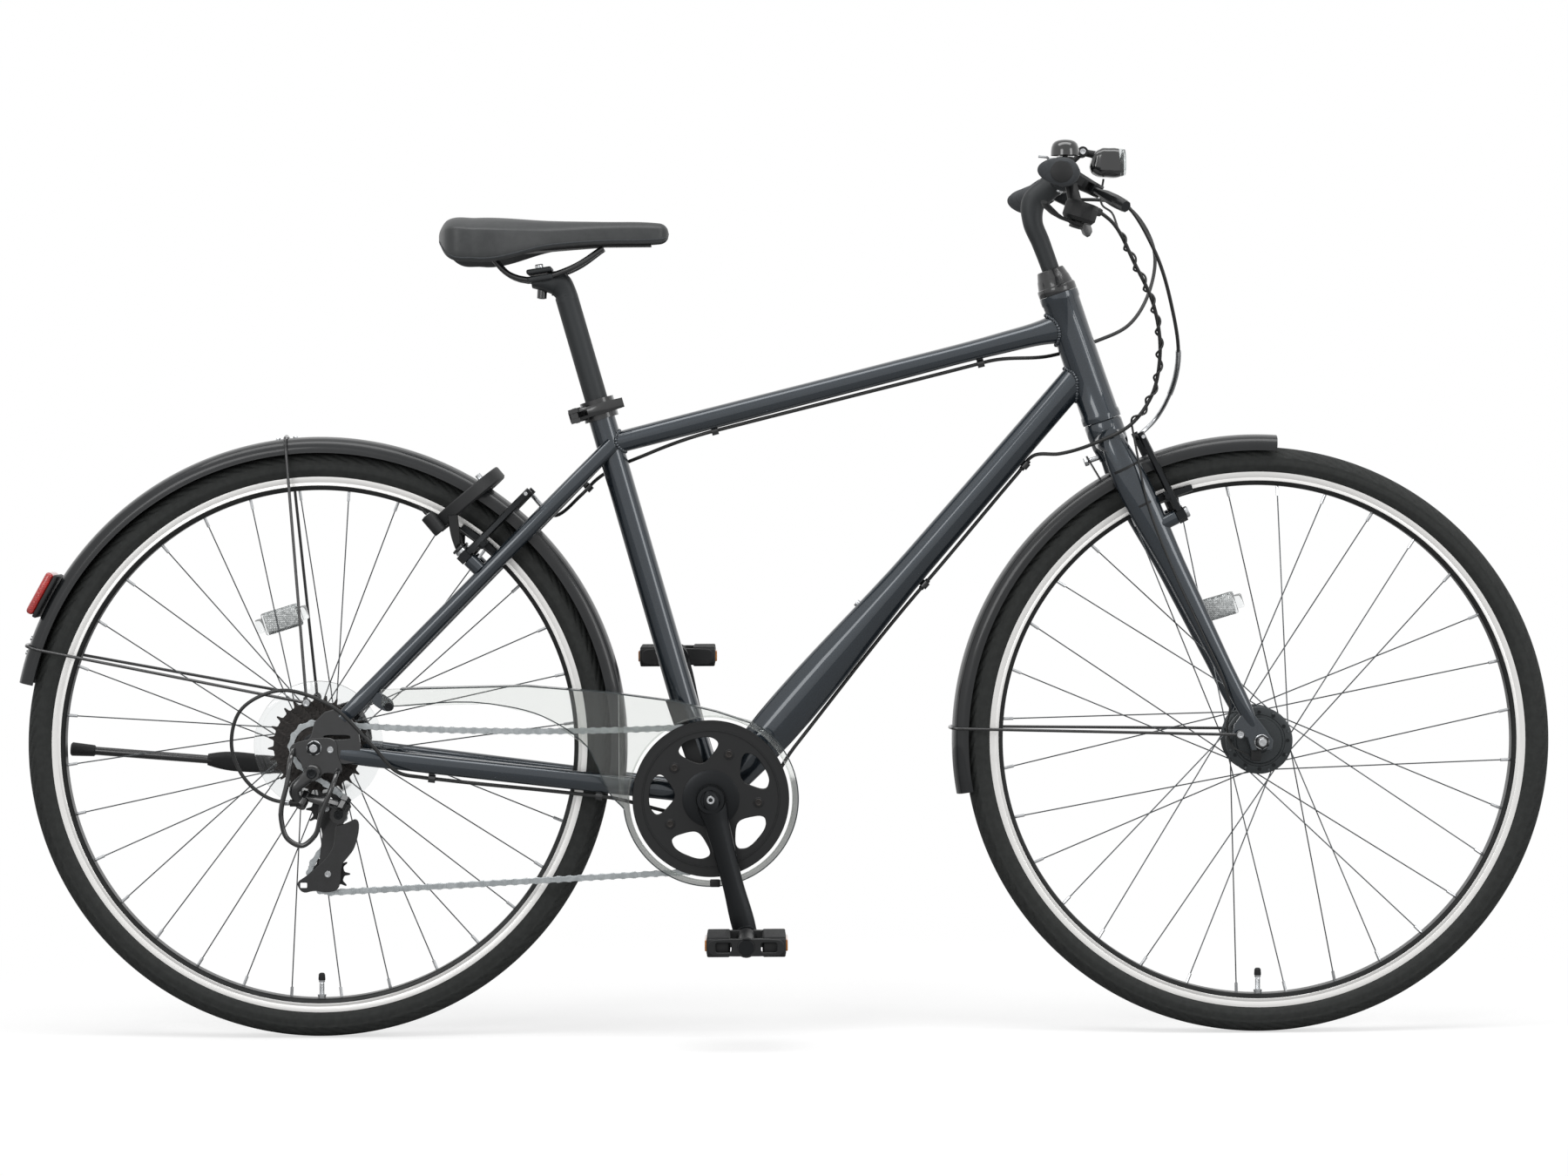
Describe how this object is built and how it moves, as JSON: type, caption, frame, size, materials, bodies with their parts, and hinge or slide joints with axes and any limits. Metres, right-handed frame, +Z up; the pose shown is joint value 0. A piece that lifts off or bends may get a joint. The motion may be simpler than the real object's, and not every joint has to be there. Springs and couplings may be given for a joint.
{
  "type": "city bicycle",
  "caption": "City bicycle with linear-pull brakes, rear derailleur and chain case, mudguards, dynamo headlight, ring lock, bell and folded side stand",
  "frame": {"origin": "on the ground under the middle of the bicycle's box, between the two tyres' footprints", "axes": "+X forward, +Y to the rider's left, +Z up"},
  "size_m": [1.811, 0.5816, 1.0499],
  "materials": {
    "frame_paint": "gloss",
    "dark_alloy": "satin",
    "black_paint": "gloss",
    "polished_steel": "polished",
    "chain_steel": "brushed",
    "spoke_steel": "brushed",
    "rim_alloy": "machined track",
    "lever_alloy": "satin",
    "tyre_rubber": "matt",
    "grip_rubber": "matt",
    "saddle_cover": "matt",
    "black_plastic": "gloss",
    "matt_plastic": "matt",
    "clear_plastic": "clear",
    "red_reflector": "clear red",
    "cable_cover": "matt"
  },
  "bodies": {
    "frame": {"main_frame": "frame_paint", "rear_triangle": "frame_paint", "seat_clamp": "dark_alloy", "bottom_bracket": "black_paint", "rear_axle": "polished_steel", "rear_fender": "matt_plastic", "rear_fender_stays": "black_paint", "rear_reflector": "red_reflector", "chain_case": "clear_plastic", "ring_lock": "black_plastic", "derailleur_base": "black_paint", "rear_brake_cable": "cable_cover", "shift_cable": "cable_cover", "chain": "chain_steel"},
    "steering": {"fork": "frame_paint", "headset_cover": "dark_alloy", "stem": "dark_alloy", "handlebar": "dark_alloy", "grip_right": "grip_rubber", "grip_left": "grip_rubber", "shifter_right": "black_plastic", "brake_mount_left": "dark_alloy", "bell": "black_plastic", "headlight": "black_plastic", "front_brake_cable": "cable_cover", "dynamo_lead": "cable_cover", "front_fender": "matt_plastic", "front_fender_stays": "black_paint", "front_axle": "polished_steel"},
    "front_wheel": {"front_tyre": "tyre_rubber", "front_rim": "rim_alloy", "front_hub": "spoke_steel"},
    "rear_wheel": {"rear_tyre": "tyre_rubber", "rear_rim": "rim_alloy", "rear_hub": "spoke_steel"},
    "freewheel": {"freewheel": "chain_steel"},
    "crank": {"right_crank": "black_paint", "chainring": "chain_steel", "left_crank": "black_paint"},
    "right_pedal": {"right_pedal": "matt_plastic"},
    "left_pedal": {"left_pedal": "matt_plastic"},
    "seat": {"seatpost": "dark_alloy", "saddle": "saddle_cover", "saddle_rails": "black_paint"},
    "seat_release": {"seat_release_lever": "black_paint"},
    "brake_lever_right": {"brake_lever_right": "lever_alloy"},
    "brake_lever_left": {"brake_lever_left": "lever_alloy"},
    "front_brake_arm_right": {"front_brake_arm_right": "dark_alloy"},
    "front_brake_arm_left": {"front_brake_arm_left": "dark_alloy"},
    "rear_brake_arm_right": {"rear_brake_arm_right": "dark_alloy"},
    "rear_brake_arm_left": {"rear_brake_arm_left": "dark_alloy"},
    "shift_paddle": {"shift_paddle": "black_plastic"},
    "bell_striker": {"bell_striker": "chain_steel"},
    "stand": {"stand_leg": "black_paint"},
    "derailleur_link": {"derailleur_link": "black_paint"},
    "derailleur_knuckle": {"derailleur_knuckle": "black_paint"},
    "derailleur_cage": {"derailleur_cage": "black_paint"},
    "guide_pulley": {"guide_pulley": "matt_plastic"},
    "tension_pulley": {"tension_pulley": "matt_plastic"},
    "lock_bolt": {"lock_bolt": "polished_steel"}
  },
  "joints": [
    {"name": "steering_turn", "type": "hinge", "parent": "frame", "child": "steering", "pos_m": [0.37879, 0, 0.72401], "axis": [-0.3206, 0, 0.9472], "range_deg": [-60, 60], "deforming": ["rear_brake_cable", "shift_cable", "dynamo_lead"]},
    {"name": "front_wheel_spin", "type": "hinge", "parent": "steering", "child": "front_wheel", "pos_m": [0.55952, 0, 0.346], "axis": [0, 1, 0], "continuous": true},
    {"name": "rear_wheel_spin", "type": "hinge", "parent": "frame", "child": "rear_wheel", "pos_m": [-0.54948, 0, 0.346], "axis": [0, 1, 0], "continuous": true},
    {"name": "crank_spin", "type": "hinge", "parent": "frame", "child": "crank", "pos_m": [-0.08677, 0, 0.2828], "axis": [0, 1, 0], "continuous": true, "deforming": ["chain"]},
    {"name": "freewheel_spin", "type": "hinge", "parent": "frame", "child": "freewheel", "pos_m": [-0.54948, 0, 0.346], "axis": [0, 1, 0], "continuous": true},
    {"name": "right_pedal_spin", "type": "hinge", "parent": "crank", "child": "right_pedal", "pos_m": [-0.04574, -0.136, 0.12298], "axis": [0, 1, 0], "continuous": true},
    {"name": "left_pedal_spin", "type": "hinge", "parent": "crank", "child": "left_pedal", "pos_m": [-0.12781, 0.136, 0.44262], "axis": [0, 1, 0], "continuous": true},
    {"name": "seat_height", "type": "slide", "parent": "frame", "child": "seat", "axis": [-0.274, 0, 0.9617], "range_m": [-0.1, 0.05]},
    {"name": "seat_release_turn", "type": "hinge", "parent": "frame", "child": "seat_release", "pos_m": [-0.24372, -0.0215, 0.73303], "axis": [0.274, 0, -0.9617], "range_deg": [0, 120]},
    {"name": "brake_lever_right_pull", "type": "hinge", "parent": "steering", "child": "brake_lever_right", "pos_m": [0.3599, -0.15, 0.988], "axis": [-0.493, 0, -0.87], "range_deg": [0, 18], "stiffness_Nm_per_rad": 2, "springref_deg": -17.19, "deforming": ["front_brake_cable"]},
    {"name": "brake_lever_left_pull", "type": "hinge", "parent": "steering", "child": "brake_lever_left", "pos_m": [0.3599, 0.15, 0.988], "axis": [0.493, 0, 0.87], "range_deg": [0, 18], "stiffness_Nm_per_rad": 2, "springref_deg": -17.19, "deforming": ["rear_brake_cable"]},
    {"name": "front_brake_arm_right_swing", "type": "hinge", "parent": "steering", "child": "front_brake_arm_right", "pos_m": [0.46747, -0.04, 0.61277], "axis": [-0.8996, 0, -0.4366], "range_deg": [0, 3]},
    {"name": "front_brake_arm_left_swing", "type": "hinge", "parent": "steering", "child": "front_brake_arm_left", "pos_m": [0.46747, 0.04, 0.61277], "axis": [0.8996, 0, 0.4366], "range_deg": [0, 3]},
    {"name": "rear_brake_arm_right_swing", "type": "hinge", "parent": "frame", "child": "rear_brake_arm_right", "pos_m": [-0.37393, -0.04, 0.5688], "axis": [-0.7114, 0, 0.7028], "range_deg": [0, 3]},
    {"name": "rear_brake_arm_left_swing", "type": "hinge", "parent": "frame", "child": "rear_brake_arm_left", "pos_m": [-0.37393, 0.04, 0.5688], "axis": [0.7114, 0, -0.7028], "range_deg": [0, 3]},
    {"name": "shift_paddle_push", "type": "hinge", "parent": "steering", "child": "shift_paddle", "pos_m": [0.34004, -0.187, 0.96068], "axis": [0.3, 0, 0.9539], "range_deg": [0, 25], "stiffness_Nm_per_rad": 0.15, "springref_deg": -8.59, "deforming": ["shift_cable"]},
    {"name": "bell_striker_pull", "type": "hinge", "parent": "steering", "child": "bell_striker", "pos_m": [0.31607, -0.102, 1.02536], "axis": [0, -1, 0], "range_deg": [0, 12], "stiffness_Nm_per_rad": 0.02, "springref_deg": -5.73},
    {"name": "stand_swing", "type": "hinge", "parent": "frame", "child": "stand", "pos_m": [-0.56948, 0.0855, 0.312], "axis": [0, -0.9781, -0.2079], "range_deg": [0, 97]},
    {"name": "derailleur_swing", "type": "hinge", "parent": "frame", "child": "derailleur_link", "pos_m": [-0.56076, -0.07135, 0.28946], "axis": [0.3613, 0.5597, 0.7458], "range_deg": [0, 43], "deforming": ["shift_cable", "chain"]},
    {"name": "knuckle_counter_swing", "type": "hinge", "parent": "derailleur_link", "child": "derailleur_knuckle", "pos_m": [-0.51648, -0.086, 0.279], "axis": [0.3613, 0.5597, 0.7458], "range_deg": [-43, 0]},
    {"name": "cage_swing", "type": "hinge", "parent": "derailleur_knuckle", "child": "derailleur_cage", "pos_m": [-0.52148, -0.0593, 0.268], "axis": [0, -1, 0], "range_deg": [-5, 50], "stiffness_Nm_per_rad": 0.8, "deforming": ["chain"]},
    {"name": "guide_pulley_spin", "type": "hinge", "parent": "derailleur_cage", "child": "guide_pulley", "pos_m": [-0.53578, -0.0593, 0.27446], "axis": [0, 1, 0], "continuous": true},
    {"name": "tension_pulley_spin", "type": "hinge", "parent": "derailleur_cage", "child": "tension_pulley", "pos_m": [-0.53463, -0.0593, 0.19829], "axis": [0, 1, 0], "continuous": true},
    {"name": "lock_bolt_close", "type": "hinge", "parent": "frame", "child": "lock_bolt", "pos_m": [-0.37848, 0, 0.63], "axis": [-0.6451, 0, 0.7641], "range_deg": [0, 86], "stiffness_Nm_per_rad": 0.06, "springref_deg": -57.3}
  ],
  "couplings": [
    {"joint": "freewheel_spin", "follows": "crank_spin", "ratio": 3},
    {"joint": "guide_pulley_spin", "follows": "crank_spin", "ratio": -3.8182},
    {"joint": "tension_pulley_spin", "follows": "crank_spin", "ratio": 3.8182},
    {"joint": "front_brake_arm_right_swing", "follows": "brake_lever_right_pull", "ratio": 0.16667},
    {"joint": "front_brake_arm_left_swing", "follows": "brake_lever_right_pull", "ratio": 0.16667},
    {"joint": "rear_brake_arm_right_swing", "follows": "brake_lever_left_pull", "ratio": 0.16667},
    {"joint": "rear_brake_arm_left_swing", "follows": "brake_lever_left_pull", "ratio": 0.16667},
    {"joint": "knuckle_counter_swing", "follows": "derailleur_swing", "ratio": -1}
  ]
}
